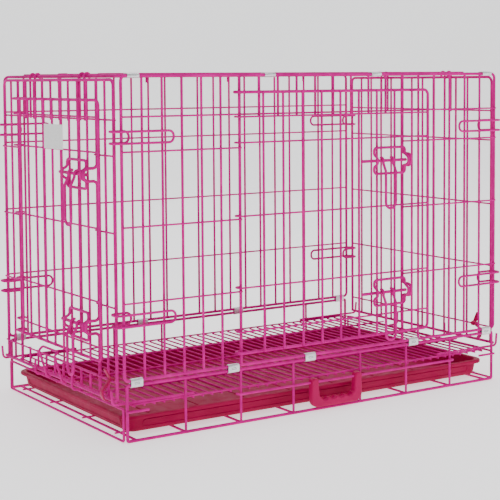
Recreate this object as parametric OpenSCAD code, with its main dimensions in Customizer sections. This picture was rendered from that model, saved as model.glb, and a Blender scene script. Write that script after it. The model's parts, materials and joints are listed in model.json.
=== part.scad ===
/* [Crate] */
// Length of the crate, from end panel to end panel
crate_length = 760; // [740:10:800]
// Depth of the crate, from front panel to back panel
crate_depth = 440; // [430:10:460]
// Height of the roof wires above the bottom wires
roof_height = 557; // [556:1:570]
// Height of the front and back panels' bottom wire
sill_height = 93; // [93:1:94]
// Height of the top wire of the base
base_height = 86; // [85:1:86]

/* [Wire] */
// Radius of the frame wires
frame_r = 2.5; // [2.4:0.1:2.5]
// Radius of the rows and the floor grille's wires
mesh_r = 1.5; // [1.4:0.1:1.5]
// Radius of the upright mesh wires
upright_r = 2; // [1.8:0.1:2]
// Radius of the hook wires
hook_r = 2; // [1.9:0.1:2]
// Radius of the latches' keeper and handle wires
latch_r = 2.3; // [2.2:0.1:2.3]

/* [Front door] */
// Distance of the front door's hinge wire from the left corner
front_hinge = 211; // [208:1:212]
// Distance of the front door's latch wire from the left corner
front_latch = 545; // [545:1:546]
// Width of the front door
front_door_width = 385; // [384:1:386]
// Height of the front door's bottom wire
front_door_bottom = 113; // [112:1:114]
// Height of the front door's top wire
front_door_top = 530; // [529:1:532]

/* [Left door] */
// Distance of the left door's latch wire from the front
left_latch = 70; // [70:1:71]
// Distance of the left door's hinge wire from the front
left_hinge = 368; // [367:1:369]
// Width of the left door
left_door_width = 319; // [318:1:320]
// Height of the left door's bottom wire
left_door_bottom = 117; // [116:1:118]
// Height of the left door's top wire
left_door_top = 520; // [519:1:522]

/* [Base] */
// Height of the floor grille's cross wires
grille_height = 51; // [51:0.1:51.2]
// Spacing of the floor grille's cross wires
grille_pitch = 17.5; // [17:0.5:20]
// Height of the tray's rim
tray_rim = 34; // [33:1:36]
// Thickness of the tray's sheet
tray_wall = 2.4; // [2:0.1:2.6]
// Length of a hinge clip
clip_length = 21; // [18:1:21]

/* [Hidden] */
$fn = 24;

// Heights of the horizontal wires
front_rows = [212, 328, 442];
back_rows = [205, 322, 441, 495];
end_rows = [205, 319, 436];
header_row = 495;
header_cut = 491;
end_header_row = 490;
end_header_cut = 486;
end_top = roof_height - 6;
end_bottom = 62.5;
end_low_row = 91;
end_foot_x = -4.2;
front_door_rows = [147, 218, 333, 450, 491];
left_door_rows = [138, 209, 323, 440, 494];
front_bolts = [186, 411];
left_bolts = [168, 405];

// Planes of the panels and doors
end_x = -6;
weld = mesh_r + upright_r - 0.4;
grille_weld = 2 * mesh_r - 0.4;
post_y = 13;
edge_y = 10.4;
door_out = weld + mesh_r + 0.4 + frame_r;
roof_end_x = 3;
roof_side_y = 7;

// Latches, measured along the door from the latch wire
bolt_r = 2.7;
bolt_out = door_out + weld + upright_r + 0.4 + bolt_r;
bolt_tip = -4;
bolt_length = 98;
bolt_travel = 21;
keeper_near = -7;
keeper_far = -74;
keeper_half = 22;
handle_near = -37;
handle_far = -58.5;
omega_out = 23;
omega_half = 10;

// Base
base_r = 2;
base_end_x = 4;
handle_bay = [313, 452];
ledge_height = 46.5;
ledge_y = -4.1;
end_rail_height = 49.5;
rod_height = 57.2;
rod_length = 127;
rod_y = 9.5;
hook_x = -16;
inner_hooks = [150, 292];
clip_wall = 1;
clip_gap = 0.4;
front_clips = [20, 195, 346, 568, 740];
back_clips = [20, 271, 488, 740];
roof_clips = [20, 269, 487, 740];
hangers = [118, 135, 305, 325];
hanger_x = -1.8;

pink = [0.93, 0.12, 0.58];
crimson = [0.70, 0.04, 0.20];
plastic_pink = [0.85, 0.12, 0.38];
zinc = [0.82, 0.84, 0.86];
paper = [0.96, 0.96, 0.95];

// Puts a shape that is measured from the front left corner of the bottom wires in the crate's frame
module place() {
    translate([-crate_length / 2, -crate_depth / 2, frame_r]) children();
}

function unit(v) = v / norm(v);

module aim(d) {
    z = unit(d);
    h = abs(z[2]) > 0.9 ? [1, 0, 0] : [0, 0, 1];
    x = unit(cross(h, z));
    y = cross(z, x);
    multmatrix([[x[0], y[0], z[0], 0], [x[1], y[1], z[1], 0], [x[2], y[2], z[2], 0], [0, 0, 0, 1]])
        children();
}

module rod(a, b, r) {
    translate(a) aim(b - a) cylinder(h = norm(b - a), r = r);
}

// The curved stretch of a bent wire at the corner p, from direction d1 to direction d2
module elbow(p, d1, d2, bend, r) {
    turn = acos(d1 * d2);
    n = unit(cross(d1, d2));
    side = unit(cross(n, d1));
    centre = p - d1 * bend * tan(turn / 2) + side * bend;
    x = -side;
    y = cross(n, x);
    multmatrix([[x[0], y[0], n[0], centre[0]], [x[1], y[1], n[1], centre[1]],
                [x[2], y[2], n[2], centre[2]], [0, 0, 0, 1]])
        rotate_extrude(angle = turn) translate([bend, 0]) circle(r = r);
}

elbow_slim = 0.985;
elbow_lap = 0.5;

// A wire through the points, with its corners bent round; an elbow is a hair thinner than the wire
module bent_wire(points, r, bend) {
    last = len(points) - 1;
    dirs = [for (i = [0:last - 1]) unit(points[i + 1] - points[i])];
    cut = [for (i = [0:last]) i == 0 || i == last ? 0 : bend * tan(acos(dirs[i - 1] * dirs[i]) / 2)];
    for (i = [0:last - 1])
        rod(points[i] + dirs[i] * (cut[i] - (i == 0 ? 0 : elbow_lap)),
            points[i + 1] - dirs[i] * (cut[i + 1] - (i == last - 1 ? 0 : elbow_lap)), r);
    for (i = [1:last - 1]) elbow(points[i], dirs[i - 1], dirs[i], bend, r * elbow_slim);
}

// A closed wire through the points
module wire_loop(points, r, bend) {
    n = len(points);
    dirs = [for (i = [0:n - 1]) unit(points[(i + 1) % n] - points[i])];
    cut = [for (i = [0:n - 1]) bend * tan(acos(dirs[(i + n - 1) % n] * dirs[i]) / 2)];
    for (i = [0:n - 1]) {
        rod(points[i] + dirs[i] * (cut[i] - elbow_lap),
            points[(i + 1) % n] - dirs[i] * (cut[(i + 1) % n] - elbow_lap), r);
        elbow(points[i], dirs[(i + n - 1) % n], dirs[i], bend, r * elbow_slim);
    }
}

knuckle = 1.07;

// A wire through the points with a small knuckle at each corner; closed joins the last point to the first
module knuckled_wire(points, r, closed = false) {
    n = len(points);
    for (i = [0:n - (closed ? 1 : 2)]) rod(points[i], points[(i + 1) % n], r);
    for (i = [closed ? 0 : 1:n - (closed ? 1 : 2)]) translate(points[i]) sphere(r = r * knuckle);
}

// ---- base ----

base_uprights = concat(
    [for (i = [0:3]) base_end_x + i * (handle_bay[0] - base_end_x) / 3],
    [for (i = [0:3]) handle_bay[1] + i * (crate_length - base_end_x - handle_bay[1]) / 3]);

// The long side of the base: two rails with upright wires between them
module base_side() {
    end = base_end_x - frame_r;
    butt = frame_r - 0.05;
    for (z = [0, base_height]) rod([end, 0, z], [crate_length - end, 0, z], frame_r);
    for (i = [0:7]) rod([base_uprights[i], 0, butt], [base_uprights[i], 0, base_height - butt],
                        i == 0 || i == 7 ? frame_r : base_r);
}

module base_front_rail() {
    color(pink) place() base_side();
}

module base_back_rail() {
    color(pink) place() translate([0, crate_depth, 0]) base_side();
}

// The wire that carries the handle, and the short wires at both corners
module handle_wire() {
    color(pink) place() {
        rod([base_uprights[2] - 6, ledge_y, ledge_height], [base_uprights[6] + 6, ledge_y, ledge_height],
            base_r);
        for (x = [base_end_x - 3, crate_length - base_end_x - 36])
            rod([x, ledge_y - 0.9, ledge_height], [x + 39, ledge_y - 0.9, ledge_height], base_r);
    }
}

// The end of the base: a hoop that the tray slides through
module base_end() {
    y0 = frame_r + base_r + 0.2;
    y1 = crate_depth - y0;
    for (z = [0, end_rail_height]) rod([0, y0 - base_r, z], [0, y1 + base_r, z], base_r);
    for (y = [y0, y1]) rod([0, y, base_r - 0.04], [0, y, end_rail_height - base_r + 0.04], base_r);
}

module base_left_rail() {
    color(pink) place() base_end();
}

module base_right_rail() {
    color(pink) place() translate([crate_length, 0, 0]) base_end();
}

module base_cross_wires() {
    gap = frame_r + 0.1;
    color(pink) place() for (i = [0:7])
        let (x = i == 0 ? 20 : i == 7 ? crate_length - 20 : base_uprights[i])
            rod([x, gap, 0], [x, crate_depth - gap, 0], base_r);
}

module base_long_wires() {
    color(pink) place() for (y = [0.1, 0.36, 0.64, 0.9] * crate_depth)
        rod([5, y, base_r + mesh_r + 0.1], [crate_length - 5, y, base_r + mesh_r + 0.1], mesh_r);
}

// Hooks that stand up outside an end panel's bottom wire, four at each end
module floor_hooks(side) {
    inner_z = end_rail_height + 2 * base_r + 0.1;
    for (y = [rod_y, crate_depth - rod_y])
        bent_wire([[rod_length * side, y, rod_height], [hook_x * side, y, rod_height],
                   [(hook_x - 2) * side, y, rod_height + 22]], base_r, 7);
    for (y = inner_hooks)
        bent_wire([[4 * side, y, inner_z], [hook_x * side, y, inner_z], [hook_x * side, y, inner_z + 24]],
                  base_r, 7);
}

module left_floor_hooks() {
    color(pink) place() floor_hooks(1);
}

module right_floor_hooks() {
    color(pink) place() translate([crate_length, 0, 0]) floor_hooks(-1);
}

module floor_grille() {
    x0 = 8.5;
    y0 = 9;
    z = grille_height + grille_weld;
    wires = floor((crate_length - 2 * x0 - 24) / grille_pitch);
    pitch = (crate_length - 2 * x0 - 24) / wires;
    color(pink) place() union() {
        wire_loop([[x0, y0, z], [crate_length - x0, y0, z], [crate_length - x0, crate_depth - y0, z],
                   [x0, crate_depth - y0, z]], mesh_r, 22);
        for (i = [0:wires])
            rod([x0 + 12 + i * pitch, y0 - 2.2, grille_height],
                [x0 + 12 + i * pitch, crate_depth - y0 + 2.2, grille_height], mesh_r);
        for (y = [0.25, 0.5, 0.75] * crate_depth) rod([-11, y, z], [crate_length + 11, y, z], mesh_r);
    }
}

// ---- front, back and roof panels ----

// An upright latch wire that bulges outwards round each bolt
module latch_wire(z0, z1, bolts) {
    bent_wire(concat([[0, 0, z0]],
                     [for (b = bolts, p = [[0, -omega_half], [-omega_out, -omega_half],
                                           [-omega_out, omega_half], [0, omega_half]]) [0, p[0], b + p[1]]],
                     [[0, 0, z1]]), frame_r, 7.5);
}

module uprights(xs, z0, z1, r = upright_r) {
    for (x = xs) rod([x, 0, z0], [x, 0, z1], r);
}

left_gap = front_hinge / 6;
right_gap = (crate_length - front_latch) / 6;
rail_split = front_hinge + 3;
rail_split_right = front_latch - 3;

module front_panel_left() {
    color(pink) place() union() {
        bent_wire([[rail_split, 0, sill_height], [0, 0, sill_height], [0, 0, header_cut]], frame_r, 8);
        uprights([for (i = [1:5]) i * left_gap], sill_height, header_cut);
        uprights([front_hinge], sill_height, header_cut, frame_r);
        for (z = front_rows) rod([-1, -weld, z], [front_hinge + 1.5, -weld, z], mesh_r);
    }
}

module front_panel_right() {
    color(pink) place() union() {
        bent_wire([[rail_split_right, 0, sill_height], [crate_length, 0, sill_height],
                   [crate_length, 0, header_cut]], frame_r, 8);
        uprights([for (i = [1:5]) front_latch + i * right_gap], sill_height, header_cut);
        translate([front_latch, 0, 0]) latch_wire(sill_height, header_cut, front_bolts);
        for (z = front_rows) rod([front_latch - 1.5, -weld, z], [crate_length + 1, -weld, z], mesh_r);
    }
}

module front_panel_header() {
    door_gap = (front_latch - front_hinge) / 9;
    color(pink) place() union() {
        bent_wire([[0, 0, header_cut], [0, 0, roof_height], [crate_length, 0, roof_height],
                   [crate_length, 0, header_cut]], frame_r, 8);
        uprights([for (i = [1:5]) i * left_gap], header_cut, roof_height);
        uprights([front_hinge, front_latch], header_cut, roof_height, frame_r);
        uprights([for (i = [1:8]) front_hinge + i * door_gap], header_cut, roof_height);
        uprights([for (i = [1:5]) front_latch + i * right_gap], header_cut, roof_height);
        rod([-1, -weld, header_row], [crate_length + 1, -weld, header_row], mesh_r);
    }
}

module front_panel_sill() {
    color(pink) place() rod([rail_split, 0, sill_height], [rail_split_right, 0, sill_height], frame_r);
}

module back_panel() {
    color(pink) place() translate([0, crate_depth, 0]) union() {
        wire_loop([[0, 0, sill_height], [0, 0, roof_height], [crate_length, 0, roof_height],
                   [crate_length, 0, sill_height]], frame_r, 8);
        uprights([for (i = [1:20]) i * crate_length / 21], sill_height, roof_height);
        for (z = back_rows) rod([-1, weld, z], [crate_length + 1, weld, z], mesh_r);
    }
}

module roof_panel() {
    x0 = roof_end_x;
    x1 = crate_length - x0;
    y1 = crate_depth - roof_side_y;
    color(pink) place() union() {
        wire_loop([[x0, roof_side_y, roof_height], [x1, roof_side_y, roof_height], [x1, y1, roof_height],
                   [x0, y1, roof_height]], frame_r, 8);
        for (i = [1:20]) let (x = x0 + i * (x1 - x0) / 21)
            rod([x, roof_side_y, roof_height], [x, y1, roof_height], upright_r);
        for (y = [0.18, 0.5, 0.82] * crate_depth)
            rod([x0, y, roof_height + weld], [x1, y, roof_height + weld], mesh_r);
    }
}

// Hooks that keep the roof's back edge on the back panel's top wire
module roof_back_hooks() {
    y1 = crate_depth - roof_side_y;
    top = roof_height + frame_r + hook_r + 0.1;
    drop = crate_depth + frame_r + hook_r + 0.4;
    color(pink) place() for (x = [0.14, 0.38, 0.62, 0.86] * crate_length)
        bent_wire([[x, y1 - 24, top], [x, drop, top], [x, drop, roof_height - 12]], hook_r, 4);
}

// ---- corner hooks and hinge clips ----

module corner_hook() {
    out = -(frame_r + hook_r + 0.1);
    inside = post_y + frame_r + hook_r + 0.3;
    far = -13.5;
    wire_loop([[88, out, -9], [far, out, -9], [far, inside, -9], [22, inside, -9],
               [22, inside, 9], [far, inside, 9], [far, out, 9], [88, out, 9]], hook_r, 8.4);
}

module corner_hooks() {
    for (z = [186, 464]) {
        translate([0, 0, z]) corner_hook();
        translate([crate_length, 0, z]) mirror([1, 0, 0]) corner_hook();
    }
}

module front_corner_hooks() {
    color(pink) place() corner_hooks();
}

module back_corner_hooks() {
    color(pink) place() translate([0, crate_depth, 0]) mirror([0, 1, 0]) corner_hooks();
}

// A strip of sheet steel wrapped round two wires that lie side by side
module hinge_clip(span) {
    r = frame_r + clip_gap;
    rotate([90, 0, 90]) translate([0, 0, -clip_length / 2]) linear_extrude(clip_length) difference() {
        union() {
            circle(r = r + clip_wall);
            translate([0, span]) circle(r = r + clip_wall);
            translate([-r - clip_wall, 0]) square([2 * (r + clip_wall), span]);
        }
        circle(r = r);
        translate([0, span]) circle(r = r);
        translate([-r, 0]) square([2 * r, span]);
    }
}

module front_hinge_clips() {
    color(zinc) place() for (x = front_clips)
        translate([x, 0, base_height]) hinge_clip(sill_height - base_height);
}

module back_hinge_clips() {
    color(zinc) place() for (x = back_clips)
        translate([x, crate_depth, base_height]) hinge_clip(sill_height - base_height);
}

module roof_hinge_clips() {
    color(zinc) place() for (x = roof_clips)
        translate([x, 0, roof_height]) rotate([-90, 0, 0]) hinge_clip(roof_side_y);
}

// ---- doors and latches ----

// A door that hangs on an upright wire at the origin and reaches along X, outside the panel
module door_mesh(width, bottom, top, rows) {
    gap = width / 10;
    union() {
        bent_wire([[0, -door_out, top], [width, -door_out, top], [width, -door_out, bottom],
                   [0, -door_out, bottom]], frame_r, 9);
        for (z = rows) rod([0, -door_out, z], [width, -door_out, z], mesh_r);
        for (i = [1:9]) rod([i * gap, -door_out - weld, bottom - 1], [i * gap, -door_out - weld, top + 1],
                            upright_r);
    }
}

// The curled ends of a door's wires, which hold it on its hinge wire
module hinge_loops(bottom, top, rows) {
    for (z = rows) hinge_loop(z, mesh_r);
    for (z = [bottom, top]) hinge_loop(z, frame_r);
}

module hinge_loop(z, r) {
    curl = 225;
    translate([0, 0, z]) rotate([0, 0, -90 - curl]) rotate_extrude(angle = curl)
        translate([door_out, 0]) circle(r = r);
}

// Latch pieces lie along X, with the latch wire at the origin and outside towards -Y
module keeper() {
    bar = -(door_out + weld + upright_r + latch_r + 0.25);
    peak = bar - 10;
    union() {
        knuckled_wire([[keeper_far, bar, keeper_half], [keeper_near, bar, keeper_half],
                       [keeper_near, bar - 1.6, 11.5], [keeper_near, peak, 0], [keeper_near, bar - 1.6, -11.5],
                       [keeper_near, bar, -keeper_half], [keeper_far, bar, -keeper_half],
                       [keeper_far, bar - 1.6, -11.5], [keeper_far, peak, 0], [keeper_far, bar - 1.6, 11.5]],
                      latch_r, true);
    }
}

module bolt() {
    rod([bolt_tip - bolt_length, -bolt_out, 0], [bolt_tip, -bolt_out, 0], bolt_r);
}

module latch_handle() {
    near = -(bolt_out + bolt_r + latch_r + 0.3);
    out = near - 6.5;
    mid = (handle_near + handle_far) / 2;
    half = (handle_near - handle_far) / 2;
    union() {
        knuckled_wire(concat([[handle_far, near, 8], [handle_far, near, -4], [handle_far, out, -18]],
                             [for (a = [180:45:360]) [mid + half * cos(a), out, half * sin(a) - 70]],
                             [[handle_near, out, -18], [handle_near, near, -4], [handle_near, near, 8]]),
                      latch_r);
    }
}

module at_front_latch(level) {
    color(pink) place() translate([front_latch, 0, front_bolts[level]]) children();
}

module at_left_latch(level) {
    color(pink) place() translate([end_x, left_latch, left_bolts[level]]) rotate([0, 0, -90]) children();
}

module front_door_mesh() {
    color(pink) place() translate([front_hinge, 0, 0])
        door_mesh(front_door_width, front_door_bottom, front_door_top, front_door_rows);
}

module front_door_hinge_loops() {
    color(pink) place() translate([front_hinge, 0, 0])
        hinge_loops(front_door_bottom, front_door_top, front_door_rows);
}

module front_door_keepers() {
    at_front_latch(0) keeper();
    at_front_latch(1) keeper();
}

module front_upper_bolt() {
    at_front_latch(1) bolt();
}

module front_upper_handle() {
    at_front_latch(1) latch_handle();
}

module front_lower_bolt() {
    at_front_latch(0) bolt();
}

module front_lower_handle() {
    at_front_latch(0) latch_handle();
}

module left_door_mesh() {
    color(pink) place() translate([end_x, left_hinge, 0]) rotate([0, 0, -90])
        door_mesh(left_door_width, left_door_bottom, left_door_top, left_door_rows);
}

module left_door_hinge_loops() {
    color(pink) place() translate([end_x, left_hinge, 0]) rotate([0, 0, -90])
        hinge_loops(left_door_bottom, left_door_top, left_door_rows);
}

module left_door_keepers() {
    at_left_latch(0) keeper();
    at_left_latch(1) keeper();
}

module left_upper_bolt() {
    at_left_latch(1) bolt();
}

module left_upper_handle() {
    at_left_latch(1) latch_handle();
}

module left_lower_bolt() {
    at_left_latch(0) bolt();
}

module left_lower_handle() {
    at_left_latch(0) latch_handle();
}

module name_card() {
    x = end_x - door_out - weld - upright_r - 0.9;
    color(paper) place() translate([x, 164, 440]) cube([0.8, 70, 40]);
}

// ---- end panels ----

end_span = crate_depth - 2 * post_y;
front_strip_y = (post_y + left_latch) / 2;
rear_strip_y = (crate_depth - post_y + left_hinge) / 2;
sill_gap = (left_hinge - left_latch) / 9;

module end_uprights(ys, z0, z1, r = upright_r) {
    for (y = ys) rod([0, y, z0], [0, y, z1], r);
}

// Wires that hang an end panel on the roof's end wire, curled over it
module hanger_wires(bottom) {
    x = roof_end_x - end_x;
    r = x - (hanger_x - end_x);
    for (y = hangers) {
        rod([x - r, y, bottom], [x - r, y, roof_height], hook_r);
        translate([x - r, y, roof_height]) sphere(r = hook_r * knuckle);
        translate([x, y, roof_height]) rotate([90, 0, 0]) rotate([0, 0, -50])
            rotate_extrude(angle = 230) translate([r, 0]) circle(r = hook_r);
    }
}

// The upper part of an end panel, measured from the panel's own plane
module end_top_frame(bottom) {
    bent_wire([[0, post_y, bottom], [0, post_y, end_top], [0, crate_depth - post_y, end_top],
               [0, crate_depth - post_y, bottom]], frame_r, 10);
}

module end_row(z, y0, y1) {
    rod([-weld, y0, z], [-weld, y1, z], mesh_r);
}

module at_left_end() {
    color(pink) place() translate([end_x, 0, 0]) children();
}

module left_end_header() {
    at_left_end() union() {
        end_top_frame(end_header_cut);
        end_uprights([front_strip_y, rear_strip_y], end_header_cut, end_top);
        end_uprights([left_latch, left_hinge], end_header_cut, end_top, frame_r);
        end_uprights([for (i = [1:8]) left_latch + i * sill_gap], end_header_cut, end_top);
        rod([weld, post_y, end_header_row], [weld, crate_depth - post_y, end_header_row], mesh_r);
        hanger_wires(end_header_row - 3);
    }
}

module left_end_front() {
    split = left_latch + 3;
    at_left_end() union() {
        end_uprights([post_y], end_bottom, end_header_cut, frame_r);
        end_uprights([front_strip_y], end_bottom, end_header_cut);
        translate([0, left_latch, 0]) rotate([0, 0, -90])
            latch_wire(end_bottom, end_header_cut, left_bolts);
        for (z = concat([end_low_row], end_rows)) end_row(z, post_y - 1.5, left_latch + 1.5);
        rod([end_foot_x, edge_y, end_bottom], [end_foot_x, split, end_bottom], frame_r);
    }
}

module left_end_rear() {
    split = left_hinge - 3;
    at_left_end() union() {
        end_uprights([crate_depth - post_y, left_hinge], end_bottom, end_header_cut, frame_r);
        end_uprights([rear_strip_y], end_bottom, end_header_cut);
        for (z = concat([end_low_row], end_rows)) end_row(z, left_hinge - 1.5, crate_depth - post_y + 1.5);
        rod([end_foot_x, split, end_bottom], [end_foot_x, crate_depth - edge_y, end_bottom], frame_r);
    }
}

module left_end_sill() {
    at_left_end() union() {
        rod([end_foot_x, left_latch + 3, end_bottom], [end_foot_x, left_hinge - 3, end_bottom], frame_r);
        end_uprights([for (i = [1:8]) left_latch + i * sill_gap], end_bottom, end_low_row + 1);
        end_row(end_low_row, left_latch + 3, left_hinge - 3);
    }
}

module right_end_panel() {
    color(pink) place() translate([crate_length, 0, 0]) mirror([1, 0, 0]) translate([end_x, 0, 0]) union() {
        end_top_frame(end_bottom);
        end_uprights([for (i = [1:12]) post_y + i * end_span / 13], end_bottom, end_top);
        for (z = concat([end_low_row], end_rows)) end_row(z, post_y - 1.5, crate_depth - post_y + 1.5);
        rod([weld, post_y, end_header_row], [weld, crate_depth - post_y, end_header_row], mesh_r);
        rod([end_foot_x, edge_y, end_bottom], [end_foot_x, crate_depth - edge_y, end_bottom], frame_r);
        hanger_wires(end_header_row - 3);
    }
}

// A small bail that is curled round the left end panel's bottom wire
bail_y = [190, 250];
bail_ring = frame_r + hook_r + 0.45;

module left_end_bail() {
    lean = 17;
    reach = 44;
    at_left_end() translate([end_foot_x, 0, end_bottom]) rotate([0, -lean, 0]) {
        union() {
            knuckled_wire([[-bail_ring, bail_y[0], 0], [-bail_ring, bail_y[0], reach],
                           [-bail_ring + 8, bail_y[0], reach + 4], [-bail_ring + 8, bail_y[1], reach + 4],
                           [-bail_ring, bail_y[1], reach], [-bail_ring, bail_y[1], 0]], hook_r);
            for (y = bail_y) {
                translate([-bail_ring, y, 0]) sphere(r = hook_r * knuckle);
                translate([0, y, 0]) rotate([90, 0, 0]) rotate([0, 0, 180])
                    rotate_extrude(angle = 230) translate([bail_ring, 0]) circle(r = hook_r);
            }
        }
    }
}

// A plastic catch that grips the low row and reaches down over the bottom wire
left_catch_y = 27;
right_catch_y = 60;
catch_width = 10;
catch_thick = 4.4;

// One straight stretch of the catch from a point, with a round end
module catch_arm(at, turn, length) {
    translate(at) rotate(turn) {
        translate([0, -catch_thick / 2]) square([length, catch_thick]);
        translate([length, 0]) circle(r = catch_thick / 2 + 0.3);
    }
}

module catch_outline() {
    knee = 21 * [cos(218), sin(218)];
    foot = knee + 15 * [cos(-76), sin(-76)];
    difference() {
        union() {
            circle(r = mesh_r + 4);
            catch_arm([0, 0], 118, 21);
            catch_arm([0, 0], 218, 21);
            catch_arm(knee, -76, 15);
            catch_arm(foot, -20, 4.5);
        }
        circle(r = mesh_r + 0.15);
    }
}

module catch(y) {
    translate([-weld, y + catch_width / 2, end_low_row]) rotate([90, 0, 0])
        linear_extrude(catch_width) catch_outline();
}

module left_catch() {
    color(plastic_pink) place() translate([end_x, 0, 0]) catch(left_catch_y);
}

module right_catch() {
    color(plastic_pink) place() translate([crate_length, 0, 0]) mirror([1, 0, 0])
        translate([end_x, 0, 0]) catch(right_catch_y);
}

// ---- tray and carry handle ----

tray_x = [7, 12, 16];
tray_y = [12, 17, 23];

// The tray's tapered wall, from the foot at z0 to the rim at z1
module tray_body(shrink, z0, z1) {
    hull() {
        for (p = [[2, z0, 16], [1, z1, 20]])
            translate([0, 0, p[1]]) linear_extrude(0.1)
                for (x = [tray_x[p[0]] + p[2], crate_length - tray_x[p[0]] - p[2]],
                     y = [tray_y[p[0]] + p[2], crate_depth - tray_y[p[0]] - p[2]])
                    translate([x, y]) circle(r = p[2] - shrink, $fn = 32);
    }
}

module rim_plate() {
    r = 24;
    x = tray_x[0] + r;
    y = tray_y[0] + r;
    union() {
        translate([x, tray_y[0], 0]) cube([crate_length - 2 * x, crate_depth - 2 * tray_y[0], tray_wall]);
        translate([tray_x[0], y, 0]) cube([crate_length - 2 * tray_x[0], crate_depth - 2 * y, tray_wall]);
        for (cx = [x, crate_length - x], cy = [y, crate_depth - y])
            translate([cx, cy, 0]) cylinder(h = tray_wall, r = r, $fn = 32);
    }
}

module tray() {
    foot = base_r + 2 * mesh_r + 0.6;
    color(crimson) place() difference() {
        union() {
            translate([0, 0, tray_rim - tray_wall]) rim_plate();
            tray_body(0, foot, tray_rim - 0.1);
        }
        tray_body(tray_wall, foot + tray_wall, tray_rim + 0.5);
    }
}

handle_ends = [351, 442];
grip_y = [-7, 5];

module carry_handle() {
    mid = (handle_ends[0] + handle_ends[1]) / 2;
    half = (handle_ends[1] - handle_ends[0]) / 2;
    width = grip_y[1] - grip_y[0];
    color(plastic_pink) place() translate([mid, ledge_y, ledge_height]) difference() {
        union() {
            for (s = [-1, 1]) {
                translate([s * half - 7, 0, 0]) rotate([0, 90, 0]) cylinder(h = 14, r = 6.5);
                translate([s * half - 7, grip_y[0], -31]) cube([14, width, 31]);
                translate([s * (half - 4), grip_y[0], -31]) rotate([-90, 0, 0]) cylinder(h = width, r = 11);
            }
            translate([-half + 4, grip_y[0], -42]) cube([2 * half - 8, width, 13]);
        }
        translate([-half - 10, 0, 0]) rotate([0, 90, 0]) cylinder(h = 2 * half + 20, r = base_r + 0.08);
        translate([-half + 7, grip_y[0] - 1, -27]) cube([2 * half - 14, width + 2, 40]);
        for (i = [-1.5:1:1.5]) translate([i * 17, grip_y[0] - 1, -23.5]) rotate([-90, 0, 0])
            cylinder(h = width + 2, r = 8.4);
    }
}

base_front_rail();
base_back_rail();
base_left_rail();
base_right_rail();
handle_wire();
base_cross_wires();
base_long_wires();
left_floor_hooks();
right_floor_hooks();
floor_grille();
front_panel_left();
front_panel_right();
front_panel_header();
front_panel_sill();
back_panel();
roof_panel();
roof_back_hooks();
front_corner_hooks();
back_corner_hooks();
front_hinge_clips();
back_hinge_clips();
roof_hinge_clips();
front_door_mesh();
front_door_hinge_loops();
front_door_keepers();
front_upper_bolt();
front_upper_handle();
front_lower_bolt();
front_lower_handle();
left_end_header();
left_end_front();
left_end_rear();
left_end_sill();
left_door_mesh();
left_door_hinge_loops();
left_door_keepers();
left_upper_bolt();
left_upper_handle();
left_lower_bolt();
left_lower_handle();
name_card();
left_end_bail();
left_catch();
right_end_panel();
right_catch();
tray();
carry_handle();
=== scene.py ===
import json
import math

import bpy
import bmesh
from mathutils import Matrix, Vector


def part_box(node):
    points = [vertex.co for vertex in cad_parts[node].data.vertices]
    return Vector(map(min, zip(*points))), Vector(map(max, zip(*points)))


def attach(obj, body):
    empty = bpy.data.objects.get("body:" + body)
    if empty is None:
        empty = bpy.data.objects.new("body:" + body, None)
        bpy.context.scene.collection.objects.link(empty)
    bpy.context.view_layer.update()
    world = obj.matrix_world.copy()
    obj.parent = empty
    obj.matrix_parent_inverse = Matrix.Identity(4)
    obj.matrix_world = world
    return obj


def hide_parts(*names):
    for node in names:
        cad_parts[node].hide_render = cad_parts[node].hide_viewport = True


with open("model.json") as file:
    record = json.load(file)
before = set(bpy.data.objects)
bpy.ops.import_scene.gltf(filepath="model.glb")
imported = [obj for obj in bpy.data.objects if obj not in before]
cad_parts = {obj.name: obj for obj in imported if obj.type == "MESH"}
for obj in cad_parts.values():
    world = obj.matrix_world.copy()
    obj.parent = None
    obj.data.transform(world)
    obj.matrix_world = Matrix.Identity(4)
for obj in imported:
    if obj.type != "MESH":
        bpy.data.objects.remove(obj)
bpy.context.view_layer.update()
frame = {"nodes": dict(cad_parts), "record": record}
nodes = frame["nodes"]

MM = 0.001
# Wire radii
FRAME_R = 2.5 * MM
HOOK_R = 2.0 * MM
LATCH_R = 2.3 * MM
BOLT_R = 2.7 * MM

# The crate's own corner: front left, at the height of the bottom wires' centres
back_lo, back_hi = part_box("back_panel")
rail_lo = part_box("base_front_rail")[0]
CORNER = Vector((back_lo.x + FRAME_R, rail_lo.y + FRAME_R, rail_lo.z + FRAME_R))
LENGTH = round((back_hi.x - back_lo.x - 2 * FRAME_R) / MM, 2)
DEPTH = 440.0
ROOF = round((back_hi.z - FRAME_R - CORNER.z) / MM, 2)

# Places along the front and the ends, and heights, in millimetres from the corner
FRONT_HINGE, FRONT_LATCH = 211, 545
LEFT_LATCH, LEFT_HINGE = 70, 368
END_X_OUT = 6
POST_Y = 13
CARRY_WIRE_Y = -4.1
HOOP_CORNER_Y = 4.7
SILL = 93.8
FRONT_PANEL_ROWS = [212, 328, 442]
FRONT_HEADER_ROW = 495
BACK_ROWS = [205, 322, 441, 495]
END_ROWS = [91, 205, 319, 436]
END_HEADER_ROW = 490
END_SILL = 63.5
LOW_ROW = END_ROWS[0]
FRONT_DOOR_ROWS = [147, 218, 333, 450, 491]
FRONT_DOOR_EDGES = [113, 530]
LEFT_DOOR_ROWS = [138, 209, 323, 440, 494]
LEFT_DOOR_EDGES = [117, 520]
# How far outside a panel's plane its uprights and rows touch
WELD_OUT = 1.8


def at(x, y, z):
    """A point measured in millimetres from the crate's corner, in the row frame."""
    return CORNER + Vector((x, y, z)) * MM


# ---------------------------------------------------------------- materials

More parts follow.
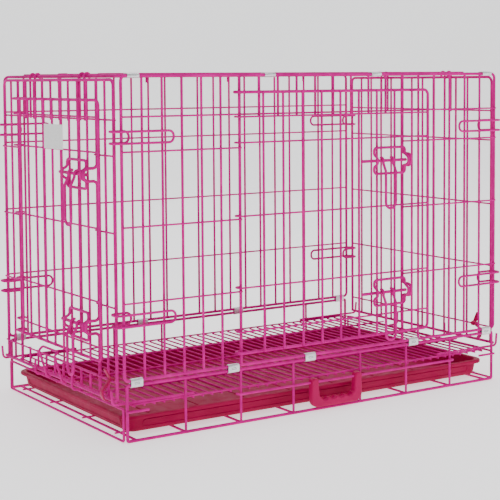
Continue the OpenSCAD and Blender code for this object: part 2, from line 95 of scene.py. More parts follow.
class Graph:
    """A material's node tree, built a node at a time."""

    def __init__(self, name):
        self.mat = bpy.data.materials.new(name)
        self.mat.use_nodes = True
        self.tree = self.mat.node_tree
        self.tree.nodes.clear()
        self.out = self.tree.nodes.new("ShaderNodeOutputMaterial")
        self.shader = self.tree.nodes.new("ShaderNodeBsdfPrincipled")
        self.link(self.shader.outputs["BSDF"], self.out.inputs["Surface"])
        self.coords = self.tree.nodes.new("ShaderNodeTexCoord").outputs["Object"]

    def link(self, a, b):
        self.tree.links.new(a, b)

    def scaled(self, scale):
        m = self.tree.nodes.new("ShaderNodeMapping")
        m.inputs["Scale"].default_value = scale
        self.link(self.coords, m.inputs["Vector"])
        return m.outputs["Vector"]

    def noise(self, scale, detail=3.0, rough=0.5, stretch=(1, 1, 1)):
        n = self.tree.nodes.new("ShaderNodeTexNoise")
        n.inputs["Scale"].default_value = scale
        n.inputs["Detail"].default_value = detail
        n.inputs["Roughness"].default_value = rough
        self.link(self.scaled(stretch), n.inputs["Vector"])
        return n.outputs["Fac"]

    def ramp(self, fac, stops):
        r = self.tree.nodes.new("ShaderNodeValToRGB")
        while len(r.color_ramp.elements) < len(stops):
            r.color_ramp.elements.new(0.5)
        for e, (pos, colour) in zip(r.color_ramp.elements, stops):
            e.position = pos
            e.color = (*colour, 1) if len(colour) == 3 else colour
        self.link(fac, r.inputs["Fac"])
        return r.outputs["Color"]

    def spread(self, fac, low, high):
        m = self.tree.nodes.new("ShaderNodeMapRange")
        m.inputs["From Min"].default_value = 0.3
        m.inputs["From Max"].default_value = 0.7
        m.inputs["To Min"].default_value = low
        m.inputs["To Max"].default_value = high
        self.link(fac, m.inputs["Value"])
        return m.outputs["Result"]

    def bump(self, fac, strength, distance):
        b = self.tree.nodes.new("ShaderNodeBump")
        b.inputs["Strength"].default_value = strength
        b.inputs["Distance"].default_value = distance
        self.link(fac, b.inputs["Height"])
        self.link(b.outputs["Normal"], self.shader.inputs["Normal"])

    def set(self, **values):
        for name, value in values.items():
            self.shader.inputs[name.replace("_", " ")].default_value = value


def coated(name, dark, mid, light, roughness):
    """Powder coating: a soft gloss with a fine orange peel and small changes of tone."""
    g = Graph(name)
    tone = g.noise(38, 4, 0.6)
    g.link(g.ramp(tone, [(0.30, dark), (0.52, mid), (0.74, light)]), g.shader.inputs["Base Color"])
    g.link(g.spread(g.noise(420, 2), roughness - 0.06, roughness + 0.08), g.shader.inputs["Roughness"])
    g.bump(g.noise(1500, 2, 0.5), 0.10, 0.0003)
    g.set(Specular_IOR_Level=0.06)
    return g.mat


def moulded(name, dark, light, roughness, grain, lift):
    """Moulded plastic with a fine grain."""
    g = Graph(name)
    g.link(g.ramp(g.noise(9, 5, 0.6), [(0.32, dark), (0.70, light)]), g.shader.inputs["Base Color"])
    g.link(g.spread(g.noise(60, 4), roughness - 0.07, roughness + 0.10), g.shader.inputs["Roughness"])
    g.bump(g.noise(grain, 3, 0.6), lift, 0.0004)
    g.set(Specular_IOR_Level=0.10)
    return g.mat


def plated(name):
    """Bright zinc plating with faint rolling marks along the strip."""
    g = Graph(name)
    g.link(g.ramp(g.noise(90, 4, 0.6), [(0.3, (0.62, 0.64, 0.66)), (0.7, (0.86, 0.87, 0.88))]),
           g.shader.inputs["Base Color"])
    g.link(g.spread(g.noise(260, 3, 0.5, (1, 8, 8)), 0.24, 0.42), g.shader.inputs["Roughness"])
    g.bump(g.noise(900, 2, 0.5, (0.2, 2, 2)), 0.12, 0.0002)
    g.set(Metallic=0.75)
    return g.mat


def card(name):
    """Uncoated white card."""
    g = Graph(name)
    g.link(g.ramp(g.noise(300, 5, 0.7), [(0.3, (0.80, 0.80, 0.79)), (0.7, (0.90, 0.90, 0.89))]),
           g.shader.inputs["Base Color"])
    g.bump(g.noise(1800, 4, 0.7), 0.15, 0.0002)
    g.set(Roughness=0.78)
    return g.mat


PINK = coated("pink_coating", (0.50, 0.0, 0.19), (0.62, 0.0, 0.25), (0.74, 0.0, 0.31), 0.50)
# The welds wear the wires' pink coating painted a shade lighter: a painted highlight on the weld nuggets.
WELD_PAINTED_HIGHLIGHT = coated("pink_coating_with_painted_highlight_on_welds", (0.56, 0.0, 0.21), (0.68, 0.0, 0.27), (0.80, 0.0, 0.34), 0.45)
TRAY = moulded("crimson_plastic", (0.30, 0.0, 0.045), (0.42, 0.0, 0.075), 0.48, 700, 0.12)
GRIP = moulded("pink_plastic", (0.40, 0.0, 0.075), (0.52, 0.0, 0.11), 0.38, 900, 0.15)
ZINC = plated("bright_zinc")
CARD = card("white_card")

MATERIAL_OF_SLOT = {"pink_coated_wire": PINK, "crimson_plastic": TRAY, "pink_plastic": GRIP,
                    "zinc_clip": ZINC, "white_card": CARD}


def smooth_by_angle(mesh, angle=35):
    mesh.shade_smooth()
    mesh.set_sharp_from_angle(angle=math.radians(angle))


for s in frame["record"]["subparts"]:
    o = nodes[s["node"]]
    o.data.materials.clear()
    o.data.materials.append(MATERIAL_OF_SLOT[s["material_slot"]])
    smooth_by_angle(o.data)


# ---------------------------------------------------------------- building blocks

def piece(name, verts, faces, material, body, stands_for=(), angle=35):
    mesh = bpy.data.meshes.new(name)
    mesh.from_pydata([tuple(v) for v in verts], [], faces)
    mesh.validate()
    bm = bmesh.new()
    bm.from_mesh(mesh)
    bmesh.ops.recalc_face_normals(bm, faces=bm.faces)
    bm.to_mesh(mesh)
    bm.free()
    mesh.materials.append(material)
    smooth_by_angle(mesh, angle)
    o = bpy.data.objects.new(name, mesh)
    bpy.context.scene.collection.objects.link(o)
    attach(o, body)
    if stands_for:
        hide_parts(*stands_for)
    return o


def rounded(points, bend, closed=False, steps=7):
    """The points of a bent wire, with each corner turned into an arc of that radius."""
    n = len(points)
    out = []
    for i, p in enumerate(points):
        if not closed and i in (0, n - 1):
            out.append(p.copy())
            continue
        a = (points[i - 1] - p)
        b = (points[(i + 1) % n] - p)
        turn = math.pi - a.angle(b)
        if turn < 0.02 or bend <= 0:
            out.append(p.copy())
            continue
        cut = min(bend * math.tan(turn / 2), 0.48 * a.length, 0.48 * b.length)
        radius = cut / math.tan(turn / 2)
        a.normalize()
        b.normalize()
        centre = p + (a + b).normalized() * math.hypot(radius, cut)
        start = p + a * cut - centre
        axis = start.cross(p + b * cut - centre).normalized()
        for k in range(steps + 1):
            out.append(centre + Matrix.Rotation(turn * k / steps, 3, axis) @ start)
    return out


def sweep(path, section, closed, first_side=None, dome=0):
    """A section carried along a path. dome rounds the ends off over that length."""
    n = len(path)
    tangents = []
    for i in range(n):
        if closed:
            t = path[(i + 1) % n] - path[i - 1]
        else:
            t = path[min(i + 1, n - 1)] - path[max(i - 1, 0)]
        tangents.append(t.normalized())
    t0 = tangents[0]
    side = Vector(first_side) if first_side else t0.orthogonal()
    side = (side - t0 * side.dot(t0)).normalized()
    rings = []
    sides = []
    for i in range(n):
        t = tangents[i]
        side = (side - t * side.dot(t)).normalized()
        sides.append(side.copy())
    twist = 0.0
    if closed:
        # carry the last side over to the first and share out the difference
        t = tangents[0]
        s = (sides[-1] - t * sides[-1].dot(t)).normalized()
        twist = math.atan2(s.cross(sides[0]).dot(t), s.dot(sides[0]))
    stations = [(path[i], tangents[i], sides[i], 1.0) for i in range(n)]
    if not closed and dome:
        cap = [(0.0, 1.0), (0.45, 0.90), (0.78, 0.62), (0.96, 0.28)]
        head = [(path[0] + tangents[0] * dome * (1 - d), tangents[0], sides[0], s) for d, s in cap]
        tail = [(path[-1] - tangents[-1] * dome * (1 - d), tangents[-1], sides[-1], s) for d, s in cap]
        stations = head[::-1] + stations[1:-1] + tail
    for i, (p, t, s, scale) in enumerate(stations):
        s = Matrix.Rotation(twist * i / len(stations), 3, t) @ s if twist else s
        u = t.cross(s)
        rings.append([p + (s * a + u * b) * scale for a, b in section])
    m = len(section)
    verts = [v for ring in rings for v in ring]
    faces = []
    count = len(rings)
    for i in range(count if closed else count - 1):
        j = (i + 1) % count
        for k in range(m):
            l = (k + 1) % m
            faces.append((i * m + k, i * m + l, j * m + l, j * m + k))
    if not closed:
        faces.append(tuple(range(m))[::-1])
        faces.append(tuple((count - 1) * m + k for k in range(m)))
    return verts, faces


def circle(r, n=14):
    return [(r * math.cos(2 * math.pi * k / n), r * math.sin(2 * math.pi * k / n)) for k in range(n)]


def join(parts):
    verts, faces = [], []
    for v, f in parts:
        base = len(verts)
        verts += v
        faces += [tuple(i + base for i in face) for face in f]
    return verts, faces


def wires(name, paths, body, stands_for=(), material=None):
    """paths: (points, radius, bend, closed) for each wire of the piece."""
    parts = [sweep(rounded(points, bend, closed), circle(r), closed, dome=0 if closed else r * 0.7)
             for points, r, bend, closed in paths]
    return piece(name, *join(parts), material or PINK, body, stands_for)


def blob(centre, r, n=8):
    """A small flattened ball, for a weld."""
    rx, ry, rz = r
    verts = [centre + Vector((0, 0, rz)), centre - Vector((0, 0, rz))]
    rings = (-0.5, 0.0, 0.5)
    for h in rings:
        w = math.sqrt(1 - h * h)
        verts += [centre + Vector((rx * w * math.cos(2 * math.pi * k / n),
                                   ry * w * math.sin(2 * math.pi * k / n), rz * h)) for k in range(n)]
    faces = []
    for k in range(n):
        l = (k + 1) % n
        faces.append((1, 2 + l, 2 + k))
        faces.append((0, 2 + 2 * n + k, 2 + 2 * n + l))
        for i in range(len(rings) - 1):
            a = 2 + i * n
            faces.append((a + k, a + l, a + n + l, a + n + k))
    return verts, faces


def welds(name, body, points, r):
    # the nuggets take the lighter pink, a painted highlight
    return piece(name, *join([blob(p, r) for p in points]), WELD_PAINTED_HIGHLIGHT, body, angle=80)


def plate(name, outline, depth, round_edge, place, material, body, stands_for=(), holes=()):
    """A flat outline given thickness, with rounded edges. place puts local x, y, z in the row frame."""
    curve = bpy.data.curves.new(name, "CURVE")
    curve.dimensions = "2D"
    curve.fill_mode = "BOTH"
    curve.extrude = max(depth / 2 - round_edge, 0)
    curve.bevel_depth = round_edge
    curve.bevel_resolution = 2
    curve.offset = -round_edge
    for loop in [outline, *holes]:
        s = curve.splines.new("POLY")
        s.points.add(len(loop) - 1)
        for point, (x, y) in zip(s.points, loop):
            point.co = (x, y, 0, 1)
        s.use_cyclic_u = True
    holder = bpy.data.objects.new(name + "_curve", curve)
    bpy.context.scene.collection.objects.link(holder)
    bpy.context.view_layer.update()
    mesh = bpy.data.meshes.new_from_object(holder.evaluated_get(bpy.context.evaluated_depsgraph_get()))
    bpy.data.objects.remove(holder)
    mesh.transform(place)
    mesh.materials.clear()
    mesh.materials.append(material)
    smooth_by_angle(mesh, 50)
    mesh.name = name
    o = bpy.data.objects.new(name, mesh)
    bpy.context.scene.collection.objects.link(o)
    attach(o, body)
    if stands_for:
        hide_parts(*stands_for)
    return o


def arc(cx, cy, r, a0, a1, n=8):
    return [(cx + r * math.cos(math.radians(a0 + (a1 - a0) * k / n)),
             cy + r * math.sin(math.radians(a0 + (a1 - a0) * k / n))) for k in range(n + 1)]


# ---------------------------------------------------------------- base

END_X = 4
SILL_Z = 86
BAY = (313, 452)
UPRIGHTS = [END_X + i * (BAY[0] - END_X) / 3 for i in range(4)]
UPRIGHTS += [BAY[1] + i * (LENGTH - END_X - BAY[1]) / 3 for i in range(4)]


def base_side(name, y, node):
    loop = [at(END_X, y, 0), at(END_X, y, SILL_Z), at(LENGTH - END_X, y, SILL_Z), at(LENGTH - END_X, y, 0)]
    paths = [(loop, FRAME_R, 3 * MM, True)]
    paths += [([at(x, y, 0), at(x, y, SILL_Z)], HOOK_R, 0, False) for x in UPRIGHTS[1:-1]]
    wires(name, paths, "crate", [node])


base_side("base_front_side", 0, "base_front_rail")
base_side("base_back_side", DEPTH, "base_back_rail")

HOOP_Z = (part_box("base_left_rail")[1].z - HOOK_R - CORNER.z) / MM
for side, x in (("left", 0), ("right", LENGTH)):
    near, far = HOOP_CORNER_Y, DEPTH - HOOP_CORNER_Y
    hoop = [at(x, near, 0), at(x, far, 0), at(x, far, HOOP_Z), at(x, near, HOOP_Z)]
    wires(f"base_{side}_hoop", [(hoop, HOOK_R, 3 * MM, True)], "crate", [f"base_{side}_rail"])

carry_lo, carry_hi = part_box("handle_wire")
carry_z = ((carry_lo.z + carry_hi.z) / 2 - CORNER.z) / MM
wires("handle_wire_bent", [
    ([at(UPRIGHTS[2] - 6, 4, carry_z), at(UPRIGHTS[2] - 6, CARRY_WIRE_Y, carry_z),
      at(UPRIGHTS[6] + 6, CARRY_WIRE_Y, carry_z), at(UPRIGHTS[6] + 6, 4, carry_z)],
     HOOK_R, 5 * MM, False),
    ([at(1, -5, carry_z), at(40, -5, carry_z)], HOOK_R, 0, False),
    ([at(LENGTH - 40, -5, carry_z), at(LENGTH - 1, -5, carry_z)], HOOK_R, 0, False)],
    "crate", ["handle_wire"])


# ---------------------------------------------------------------- tray

tray_lo, tray_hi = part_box("tray")


def tray_ring(inset, z, corner, steps=8):
    """A rounded rectangle at an inset from the tray's outline, all round."""
    x0, x1 = tray_lo.x + inset * MM, tray_hi.x - inset * MM
    y0, y1 = tray_lo.y + inset * MM, tray_hi.y - inset * MM
    r = corner * MM
    out = []
    for cx, cy, a in ((x1 - r, y1 - r, 0), (x0 + r, y1 - r, 90),
                      (x0 + r, y0 + r, 180), (x1 - r, y0 + r, 270)):
        for k in range(steps + 1):
            t = math.radians(a + 90 * k / steps)
            out.append(Vector((cx + r * math.cos(t), cy + r * math.sin(t), z)))
    return out


def build_tray():
    top, foot = tray_hi.z, tray_lo.z
    profile = [
        # inside, from the floor up
        (22, foot + 0.0030, 8), (18, foot + 0.0026, 12), (14.5, foot + 0.0042, 15), (13, foot + 0.0075, 16),
        (9.6, top - 0.0045, 20), (8.6, top - 0.0012, 21), (7.6, top, 22),
        # over the rim and down the turned lip
        (1.6, top, 23.5), (0.4, top - 0.0006, 24), (0.0, top - 0.0018, 24), (0.0, top - 0.0052, 24),
        (0.5, top - 0.0058, 23.6), (1.4, top - 0.0052, 23),
        # back under the rim and down the outside
        (2.2, top - 0.0032, 22.6), (6.6, top - 0.0032, 19), (7.8, top - 0.0044, 18),
        (11.4, foot + 0.0062, 15), (13.2, foot + 0.0016, 13), (15.5, foot + 0.0002, 11), (20, foot, 8),
    ]
    rings = [tray_ring(i, z, c) for i, z, c in profile]
    m = len(rings[0])
    verts = [v for ring in rings for v in ring]
    faces = []
    for i in range(len(rings) - 1):
        for k in range(m):
            l = (k + 1) % m
            faces.append((i * m + k, (i + 1) * m + k, (i + 1) * m + l, i * m + l))
    faces.append(tuple(range(m)))
    faces.append(tuple((len(rings) - 1) * m + k for k in range(m))[::-1])
    return verts, faces


piece("tray_shell", *build_tray(), TRAY, "tray", ["tray"], angle=40)

# Raised beads: a frame on each end wall, a long frame on each side wall, ribs across the floor
wall_mid = (tray_lo.z + tray_hi.z) / 2 - 0.0006


def wall_frame(axis, sign, a, b):
    """A closed bead on a wall that leans outwards towards the rim."""
    low, high = wall_mid - 0.0065, wall_mid + 0.0050
    def on_wall(u, z):
        lean = 0.0114 - (z - tray_lo.z - 0.0062) * 0.0036 / 0.0176 + 0.0001
        if axis == "x":
            return Vector(((tray_lo.x + lean) if sign < 0 else (tray_hi.x - lean), u, z))
        return Vector((u, (tray_lo.y + lean) if sign < 0 else (tray_hi.y - lean), z))
    return [on_wall(a, low), on_wall(b, low), on_wall(b, high), on_wall(a, high)]


beads = []
for sign in (-1, 1):
    beads.append((wall_frame("x", sign, tray_lo.y + 0.034, tray_hi.y - 0.034), 0.0009, 0.005, True))
    beads.append((wall_frame("y", sign, tray_lo.x + 0.036, tray_hi.x - 0.036), 0.0009, 0.005, True))
floor_z = tray_lo.z + 0.0030
for k in range(1, 8):
    x = tray_lo.x + (tray_hi.x - tray_lo.x) * k / 8
    beads.append(([Vector((x, tray_lo.y + 0.05, floor_z)), Vector((x, tray_hi.y - 0.05, floor_z))],
                  0.0013, 0, False))
wires("tray_beads", beads, "tray", material=TRAY)


# ---------------------------------------------------------------- carry handle

grip_lo, grip_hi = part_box("carry_handle")


def grip_outline():
    """Outside and window of the handle, local x along the crate and y up, from the hinge wire."""
    half = (grip_hi.x - grip_lo.x) / 2 / MM
    deep = 42.0
    outer = arc(-half + 7.5, 1.5, 6.2, 200, 0, 10)
    outer += [(-half + 14.2, -6), (-half + 15.5, -17)]
    window = arc(-half + 21, -20.5, 5.5, 180, 262, 6)
    xs = [-25.5, -8.5, 8.5, 25.5]
    for x in xs:
        window += arc(x, -22.6, 8.2, 218, 322, 6)
    window += arc(half - 21, -20.5, 5.5, 278, 360, 6)
    outer += window
    outer += [(half - 15.5, -17), (half - 14.2, -6)]
    outer += arc(half - 7.5, 1.5, 6.2, 180, -20, 10)
    outer += [(half - 0.4, -10), (half - 0.2, -26)]
    outer += arc(half - 14, -deep + 13.5, 13.5, -4, -90, 10)
    outer += arc(-half + 14, -deep + 13.5, 13.5, -90, -176, 10)
    outer += [(-half + 0.2, -26), (-half + 0.4, -10)]
    return outer


mid_x = (grip_lo.x + grip_hi.x) / 2
outline = [(x * MM, y * MM) for x, y in grip_outline()]
stand = Matrix.Translation((mid_x, (grip_lo.y + grip_hi.y) / 2, CORNER.z + carry_z * MM)) @ Matrix.Rotation(
    math.radians(90), 4, "X")
plate("carry_grip", outline, 0.0125, 0.0026, stand, GRIP, "carry_handle", ["carry_handle"])
eyes = []
for s in (-1, 1):
    x = mid_x + s * ((grip_hi.x - grip_lo.x) / 2 - 7.2 * MM)
    wire_at = Vector((x, CORNER.y + CARRY_WIRE_Y * MM, CORNER.z + carry_z * MM))
    half_eye = Vector((7 * MM, 0, 0))
    eyes.append(sweep([wire_at - half_eye, wire_at + half_eye], circle(0.0066, 24), False, dome=0.0012))
piece("carry_grip_eyes", *join(eyes), GRIP, "carry_handle")


# ---------------------------------------------------------------- hinge clips

def clip_outline(span):
    """The outside of a strip wrapped round two wires, seen from its end."""
    r = 3.7
    out = [(-r, 0)] + arc(0, 0, r, 180, 360, 14) + arc(0, span, r, 0, 180, 14)
    return [(x * MM, y * MM) for x, y in out]


def clip_hole(span):
    """The room inside the strip."""
    r = 2.8
    out = arc(0, 0, r, 180, 360, 12) + arc(0, span, r, 0, 180, 12)
    return [(x * MM, y * MM) for x, y in out]


def clip_piece(name, centre, span, turn, length=20.5 * MM):
    place = Matrix.Translation(centre) @ turn @ Matrix.Rotation(math.radians(90), 4, "Z") @ \
        Matrix.Rotation(math.radians(90), 4, "X")
    return plate(name, clip_outline(span), length, 0.0002, place, ZINC, "crate", holes=[clip_hole(span)])


def pressed_mark(centre, span, turn):
    """The bent-in tongue on a clip's face: a raised lip round a small slot, whose outline is drawn in
    near-black as painted shadow of the slot.
    """
    y = -3.75 * MM
    a, b = 4.2 * MM, 1.15 * MM
    mid = Vector((0, y, span / 2 * MM))
    place = Matrix.Translation(centre) @ turn
    return [place @ (mid + Vector(c)) for c in ((-a, 0, -b), (a, 0, -b), (a, 0, b), (-a, 0, b))]


# Near-black painted shadow of the clips' slots, carried by thin rings round each pressed tongue.
SLOT_PAINTED_SHADOW = coated("slot_shadow", (0.05, 0.05, 0.055), (0.07, 0.07, 0.075), (0.10, 0.10, 0.105), 0.6)
clip_sets = [
    ("front_hinge_clips", [20, 195, 346, 568, 740], 0, SILL_Z, 7, Matrix.Identity(4)),
    ("back_hinge_clips", [20, 271, 488, 740], DEPTH, SILL_Z, 7, Matrix.Identity(4)),
    ("roof_hinge_clips", [20, 269, 487, 740], 0, ROOF, 7, Matrix.Rotation(math.radians(-90), 4, "X")),
]
for node, xs, y, z, span, turn in clip_sets:
    marks = []
    for i, x in enumerate(xs):
        centre = at(x, y, z)
        o = clip_piece(f"{node}_{i}", centre, span, turn)
        if i == 0:
            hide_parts(node)
        loop = pressed_mark(centre, span, turn if y == 0 else Matrix.Translation((0, 7.5 * MM, 0)))
        # each ring is a thin tube in the near-black painted slot shadow
        marks.append(sweep(rounded(loop, 1.1 * MM, True, 4), circle(0.00028, 8), True))
    piece(f"{node}_marks", *join(marks), SLOT_PAINTED_SHADOW, "crate", angle=80)


# ---------------------------------------------------------------- latches

def latch_frame(direction, origin, out):
    """Turns latch measures (along, out, up), in millimetres, into the row frame."""
    def point(a, o, u):
        return origin + (Vector(direction) * a + Vector(out) * -o + Vector((0, 0, 1)) * u) * MM
    return point


KEEPER_BAR = -15.15
BOLT_OUT = -15.7
HANDLE_OUT = -21.0


def keeper_path(p):
    """A loop welded to the door's uprights, with a bulge at each side that the bolt slides through."""
    bulge = ((0, 22), (0, 10.5), (-9.5, 5), (-9.5, -5), (0, -10.5), (0, -22))
    loop = [p(-7, KEEPER_BAR + o, u) for o, u in bulge] + [p(-74, KEEPER_BAR + o, u) for o, u in bulge[::-1]]
    return loop, LATCH_R, 6 * MM, True


def handle_path(p):
    """The bolt's handle: two legs that curl over the bolt, a knee, and a long loop that hangs."""
    near, far = -37, -58.5
    out = HANDLE_OUT - 6.5
    curl = BOLT_OUT - HANDLE_OUT
    legs = [[p(leg, BOLT_OUT + curl * math.sin(math.radians(a)), curl * math.cos(math.radians(a)))
             for a in (40, 10, -20, -50, -80)] + [p(leg, HANDLE_OUT, -5), p(leg, out, -18)]
            for leg in (far, near)]
    half = (near - far) / 2
    loop = [p(far + half + half * math.cos(math.radians(a)), out, half * math.sin(math.radians(a)) - 70)
            for a in range(180, 361, 20)]
    return legs[0] + loop + legs[1][::-1], LATCH_R, 5 * MM, False


def bolt_path(p):
    return [p(-102, BOLT_OUT, 0), p(-4, BOLT_OUT, 0)], BOLT_R, 0, False


latch_sets = (
    ("front", (1, 0, 0), (0, -1, 0), at(FRONT_LATCH, 0, 0), {"lower": 186, "upper": 411}, "front_door"),
    ("left", (0, -1, 0), (-1, 0, 0), at(-END_X_OUT, LEFT_LATCH, 0),
     {"lower": 168, "upper": 405}, "left_door"),
)
for door, along, out, origin, levels, body in latch_sets:
    keepers = []
    for level, z in levels.items():
        p = latch_frame(along, origin + Vector((0, 0, z * MM)), out)
        keepers.append(keeper_path(p))
        wires(f"{door}_{level}_bolt_rod", [bolt_path(p)], f"{door}_{level}_bolt", [f"{door}_{level}_bolt"])
        wires(f"{door}_{level}_handle_loop", [handle_path(p)], f"{door}_{level}_handle",
              [f"{door}_{level}_handle"])
    wires(f"{door}_keeper_loops", keepers, body, [f"{door}_door_keepers"])


# ---------------------------------------------------------------- bail and catches

def bail_path():
    pivot = at(-10.2, 0, 62.5)
    tilt = Matrix.Rotation(math.radians(-17), 3, "Y")
    ring = 4.95
    pts = []
    for y, order in ((190, 1), (250, -1)):
        curl = [Vector((ring * math.cos(math.radians(a)), y, ring * math.sin(math.radians(a))))
                for a in range(48, -181, -19)]
        leg = curl + [Vector((-ring, y, 44)), Vector((-ring + 8, y, 48))]
        pts += leg if order == 1 else leg[::-1]
    return [pivot + tilt @ Vector((p.x, p.y, p.z)) * MM for p in pts]


wires("left_end_bail_wire", [(bail_path(), HOOK_R, 4 * MM, False)], "left_end_bail", ["left_end_bail"])


def strap_section(width, thick, n=6):
    """A flat strap with rounded edges: width along the first axis."""
    w, t = width / 2, thick / 2
    return [(w - t + t * math.cos(math.radians(a)), t * math.sin(math.radians(a)))
            for a in range(-90, 91, 180 // n)] + \
           [(-w + t + t * math.cos(math.radians(a)), t * math.sin(math.radians(a)))
            for a in range(90, 271, 180 // n)]


def catch(name, x, y, out, body, node):
    """A curled plastic catch; out is -1 on the left end and 1 on the right end."""
    pivot = at(x, y, LOW_ROW)
    ring = [(2.0, -3.2), (3.6, -0.6), (3.1, 2.2), (0.6, 3.8), (-2.4, 3.2), (-4.4, 0.0)]
    band = [(-7.5, -5.5), (-12.8, -9.2), (-16.6, -13.6), (-16.2, -20), (-13.4, -26.2),
            (-9.0, -29.2), (-6.2, -29.4)]
    tab = [(-1.6, 3.2), (-5.0, 9.6), (-8.6, 16.4), (-10.4, 19.8)]
    parts = []
    for line, thick in ((ring + band, 2.5), (tab, 2.3)):
        path = [pivot + Vector((-out * px, 0, pz)) * MM for px, pz in line]
        path = rounded(path, 4 * MM, False, 5)
        parts.append(sweep(path, [(a * MM, b * MM) for a, b in strap_section(9.6, thick)], False,
                           first_side=(0, 1, 0), dome=0.9 * MM))
    return piece(name, *join(parts), GRIP, body, [node], angle=50)


catch("left_catch_strap", -9.1, 27, -1, "left_catch", "left_catch")
catch("right_catch_strap", LENGTH + 9.1, 60, 1, "right_catch", "right_catch")


# ---------------------------------------------------------------- welds where wires cross

def grid(us, vs, point):
    return [point(u, v) for u in us for v in vs]


def dot(a, b, c):
    return (a * MM, b * MM, c * MM)


FRONT_DOT = dot(2.4, 1.5, 2.1)
END_DOT = dot(1.5, 2.4, 2.1)
FLAT_DOT = dot(2.4, 2.1, 1.5)
left_xs = [i * FRONT_HINGE / 6 for i in range(6)] + [FRONT_HINGE]
right_xs = [FRONT_LATCH + i * (LENGTH - FRONT_LATCH) / 6 for i in range(7)]
head_xs = [FRONT_HINGE + i * (FRONT_LATCH - FRONT_HINGE) / 9 for i in range(1, 9)]
welds("front_panel_welds", "crate",
      grid(left_xs, FRONT_PANEL_ROWS, lambda x, z: at(x, -WELD_OUT, z))
      + grid(right_xs, FRONT_PANEL_ROWS, lambda x, z: at(x, -WELD_OUT, z))
      + grid(left_xs + head_xs + right_xs, [FRONT_HEADER_ROW], lambda x, z: at(x, -WELD_OUT, z))
      + grid(left_xs[1:6] + right_xs[1:6], [SILL], lambda x, z: at(x, 0, z))
      + grid(left_xs[1:] + head_xs + right_xs[:-1], [ROOF - 0.8], lambda x, z: at(x, 0, z)), FRONT_DOT)
back_xs = [i * LENGTH / 21 for i in range(22)]
welds("back_panel_welds", "crate",
      grid(back_xs, BACK_ROWS, lambda x, z: at(x, DEPTH + WELD_OUT, z))
      + grid(back_xs[1:-1], [SILL, ROOF - 0.8], lambda x, z: at(x, DEPTH, z)), FRONT_DOT)
roof_xs = [3 + i * (LENGTH - 6) / 21 for i in range(22)]
welds("roof_welds", "crate",
      grid(roof_xs, [0.18 * DEPTH, 0.5 * DEPTH, 0.82 * DEPTH],
           lambda x, y: at(x, y, ROOF + WELD_OUT)), FLAT_DOT)
door_xs = [FRONT_HINGE + i * 38.5 for i in range(1, 10)]
welds("front_door_welds", "front_door",
      grid(door_xs, FRONT_DOOR_ROWS + FRONT_DOOR_EDGES, lambda x, z: at(x, -8.8, z))
      + grid([596], FRONT_DOOR_ROWS, lambda x, z: at(x, -7.5, z)), FRONT_DOT)
left_door_ys = [LEFT_HINGE - i * 31.9 for i in range(1, 10)]
welds("left_door_welds", "left_door",
      grid(left_door_ys, LEFT_DOOR_ROWS + LEFT_DOOR_EDGES, lambda y, z: at(-14.8, y, z))
      + grid([49], LEFT_DOOR_ROWS, lambda y, z: at(-13.5, y, z)), END_DOT)
rear_post = DEPTH - POST_Y
strip_ys = [POST_Y, (POST_Y + LEFT_LATCH) / 2, LEFT_LATCH]
rear_ys = [LEFT_HINGE, (rear_post + LEFT_HINGE) / 2, rear_post]
sill_ys = [LEFT_LATCH + i * (LEFT_HINGE - LEFT_LATCH) / 9 for i in range(1, 9)]
row_x = END_X_OUT + WELD_OUT
header_x = END_X_OUT - WELD_OUT
foot_x = row_x + 0.1
welds("left_end_welds", "left_end",
      grid(strip_ys + rear_ys, END_ROWS, lambda y, z: at(-row_x, y, z))
      + grid(sill_ys, [LOW_ROW], lambda y, z: at(-row_x, y, z))
      + grid(strip_ys + sill_ys + rear_ys, [END_HEADER_ROW], lambda y, z: at(-header_x, y, z))
      + grid(strip_ys + sill_ys + rear_ys, [END_SILL], lambda y, z: at(-foot_x, y, z)), END_DOT)
right_ys = [POST_Y + i * (DEPTH - 2 * POST_Y) / 13 for i in range(14)]
welds("right_end_welds", "right_end",
      grid(right_ys, END_ROWS, lambda y, z: at(LENGTH + row_x, y, z))
      + grid(right_ys, [END_HEADER_ROW], lambda y, z: at(LENGTH + header_x, y, z))
      + grid(right_ys, [END_SILL], lambda y, z: at(LENGTH + foot_x, y, z)), END_DOT)
pitches = math.floor((LENGTH - 17 - 24) / 17.5)
grille_xs = [20.5 + i * (LENGTH - 17 - 24) / pitches for i in range(pitches + 1)]
welds("grille_welds", "crate",
      grid(grille_xs, [9, 0.25 * DEPTH, 0.5 * DEPTH, 0.75 * DEPTH, DEPTH - 9], lambda x, y: at(x, y, 52.3)),
      dot(1.8, 1.8, 1.5))
welds("base_welds", "crate",
      [at(x, y, z) for x in UPRIGHTS[1:-1] for y in (0, DEPTH) for z in (1.5, SILL_Z - 1.5)],
      dot(2.7, 2.4, 2.4))


# ---------------------------------------------------------------- stage

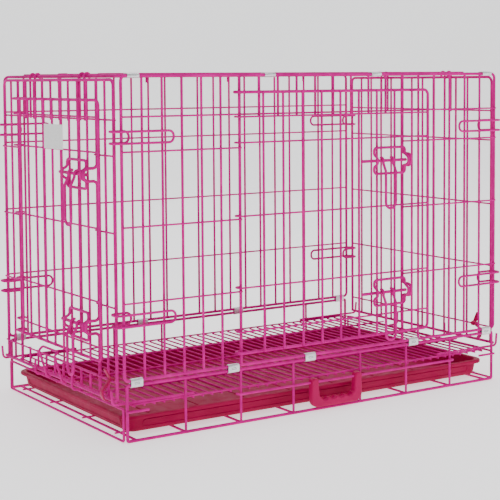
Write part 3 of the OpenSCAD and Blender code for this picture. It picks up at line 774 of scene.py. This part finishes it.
def stage_plane():
    """A pale sweep: floor that curves up into a backdrop."""
    steps, radius, wide = 24, 2.2, 14.0
    line = [(-8.0, 0.0), (3.4, 0.0)]
    line += [(3.4 + radius * math.sin(math.radians(90 * k / steps)),
              radius - radius * math.cos(math.radians(90 * k / steps))) for k in range(1, steps + 1)]
    line.append((3.4 + radius, 9.0))
    view = Matrix.Rotation(-yaw, 3, "Z")
    verts = []
    for d, z in line:
        verts += [view @ Vector((-wide, d, z)), view @ Vector((wide, d, z))]
    faces = [(2 * i, 2 * i + 1, 2 * i + 3, 2 * i + 2) for i in range(len(line) - 1)]
    mesh = bpy.data.meshes.new("studio_floor")
    mesh.from_pydata([tuple(v) for v in verts], [], faces)
    g = Graph("studio_paper")
    g.link(g.ramp(g.noise(1.2, 2), [(0.3, (0.905, 0.905, 0.91)), (0.7, (0.925, 0.925, 0.93))]),
           g.shader.inputs["Base Color"])
    g.link(g.shader.inputs["Base Color"].links[0].from_socket, g.shader.inputs["Emission Color"])
    g.set(Roughness=0.85, Emission_Strength=1.0)
    mesh.materials.append(g.mat)
    mesh.shade_smooth()
    o = bpy.data.objects.new("studio_floor", mesh)
    bpy.context.scene.collection.objects.link(o)


yaw = math.radians(33.234)
pitch = math.radians(3.728)
roll = math.radians(-0.413)
stage_plane()

camera = bpy.data.objects.new("camera", bpy.data.cameras.new("camera"))
bpy.context.scene.collection.objects.link(camera)
camera.location = at(-925.92, -1762.89, 550.72)
camera.rotation_euler = (Matrix.Rotation(-yaw, 4, "Z") @ Matrix.Rotation(math.radians(90) - pitch, 4, "X")
                         @ Matrix.Rotation(roll, 4, "Z")).to_euler()
camera.data.sensor_width = 36
camera.data.lens = 95.27
camera.data.shift_x = 0.0013
camera.data.shift_y = -0.1698
camera.data.clip_end = 60
bpy.context.scene.camera = camera


def area(name, place, aim, size, power, colour=(1, 1, 1)):
    light = bpy.data.lights.new(name, "AREA")
    light.shape = "RECTANGLE"
    light.size, light.size_y = size
    light.energy = power
    light.color = colour
    o = bpy.data.objects.new(name, light)
    o.location = place
    o.rotation_euler = (Vector(aim) - Vector(place)).to_track_quat("-Z", "Y").to_euler()
    bpy.context.scene.collection.objects.link(o)


area("key", (-2.2, -2.6, 2.9), (0, 0, 0.2), (2.2, 1.6), 60)
area("fill", (2.6, -2.4, 1.6), (0, 0, 0.25), (2.4, 2.0), 26)
area("top", (0.3, 0.4, 3.2), (0, 0, 0), (3.0, 2.4), 45)

world = bpy.data.worlds.new("studio")
world.use_nodes = True
world.node_tree.nodes["Background"].inputs["Color"].default_value = (0.97, 0.98, 1.0, 1)
world.node_tree.nodes["Background"].inputs["Strength"].default_value = 0.22
bpy.context.scene.world = world
